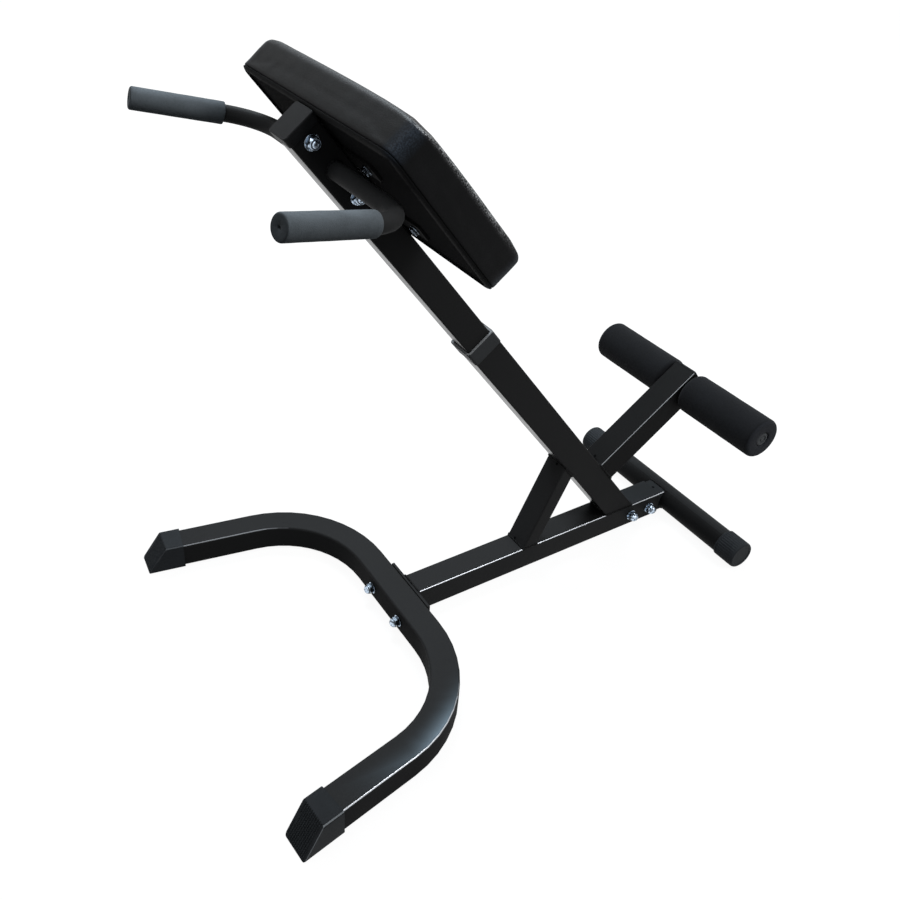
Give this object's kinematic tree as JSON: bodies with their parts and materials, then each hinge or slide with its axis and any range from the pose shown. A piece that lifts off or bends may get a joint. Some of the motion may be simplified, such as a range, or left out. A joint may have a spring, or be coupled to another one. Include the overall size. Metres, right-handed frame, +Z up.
{
  "type": "hyperextension bench",
  "caption": "Hyperextension bench: U-shaped front base, floor beam, slanted telescoping post with a padded hip rest and bent handlebar, and foam leg rollers on a rear arm.",
  "frame": {"origin": "on the floor, under the middle of the bench's bounding box", "axes": "+X across the bench towards the near side with the nuts, +Y along the floor beam towards the leg rollers, +Z up"},
  "size_m": [0.7234, 1.0508, 1.0046],
  "materials": {
    "black_paint": "satin",
    "rubber": "matte",
    "plastic": "matte",
    "foam": "matte",
    "grip_foam": "matte",
    "vinyl": "satin",
    "board": "matte",
    "zinc": "satin"
  },
  "bodies": {
    "frame": {"u_base_tube": "black_paint", "foot_cap_near": "rubber", "foot_cap_far": "rubber", "beam_front_plate": "black_paint", "base_bolt_near": "zinc", "base_bolt_far": "zinc", "base_washer_near": "zinc", "base_washer_far": "zinc", "base_cap_nut_near": "zinc", "base_cap_nut_far": "zinc", "main_beam": "black_paint", "rear_stub": "black_paint", "rear_foot_tube": "black_paint", "rear_foot_cap_near": "rubber", "rear_foot_cap_far": "rubber", "rear_bolt_front": "zinc", "rear_bolt_rear": "zinc", "rear_washer_front": "zinc", "rear_washer_rear": "zinc", "rear_cap_nut_front": "zinc", "rear_cap_nut_rear": "zinc", "outer_post": "black_paint", "post_sleeve": "plastic", "pin_housing": "black_paint", "support_strut": "black_paint", "roller_arm": "black_paint", "roller_arm_cap": "plastic", "roller_rod": "black_paint", "rod_plug_near": "plastic", "rod_plug_far": "plastic"},
    "upper_post": {"inner_post": "black_paint", "top_cap": "plastic", "side_bolt_upper": "zinc", "side_bolt_lower": "zinc", "side_washer_upper": "zinc", "side_washer_lower": "zinc", "side_lock_nut_upper": "zinc", "side_lock_nut_lower": "zinc", "handlebar": "black_paint", "handle_grip_near": "grip_foam", "handle_grip_far": "grip_foam", "pad_bracket_upper": "black_paint", "pad_bracket_lower": "black_paint", "pad_bolt_upper_near": "zinc", "pad_bolt_upper_far": "zinc", "pad_bolt_lower_near": "zinc", "pad_bolt_lower_far": "zinc", "pad_board": "board", "pad_cushion": "vinyl"},
    "pull_pin": {"lock_pin": "zinc", "pin_knob": "plastic"},
    "roller_near": {"foam_roller_near": "foam"},
    "roller_far": {"foam_roller_far": "foam"}
  },
  "joints": [
    {"name": "height_slide", "type": "slide", "parent": "frame", "child": "upper_post", "axis": [0, -0.6088, 0.7934], "range_m": [-0.175, 0.035]},
    {"name": "pin_pull", "type": "slide", "parent": "frame", "child": "pull_pin", "axis": [-1, 0, 0], "range_m": [0, 0.006], "stiffness_N_per_m": 900, "springref_m": -0.01},
    {"name": "roller_near_spin", "type": "hinge", "parent": "frame", "child": "roller_near", "pos_m": [0, 0.48571, 0.30138], "axis": [1, 0, 0], "continuous": true},
    {"name": "roller_far_spin", "type": "hinge", "parent": "frame", "child": "roller_far", "pos_m": [0, 0.48571, 0.30138], "axis": [1, 0, 0], "continuous": true}
  ]
}
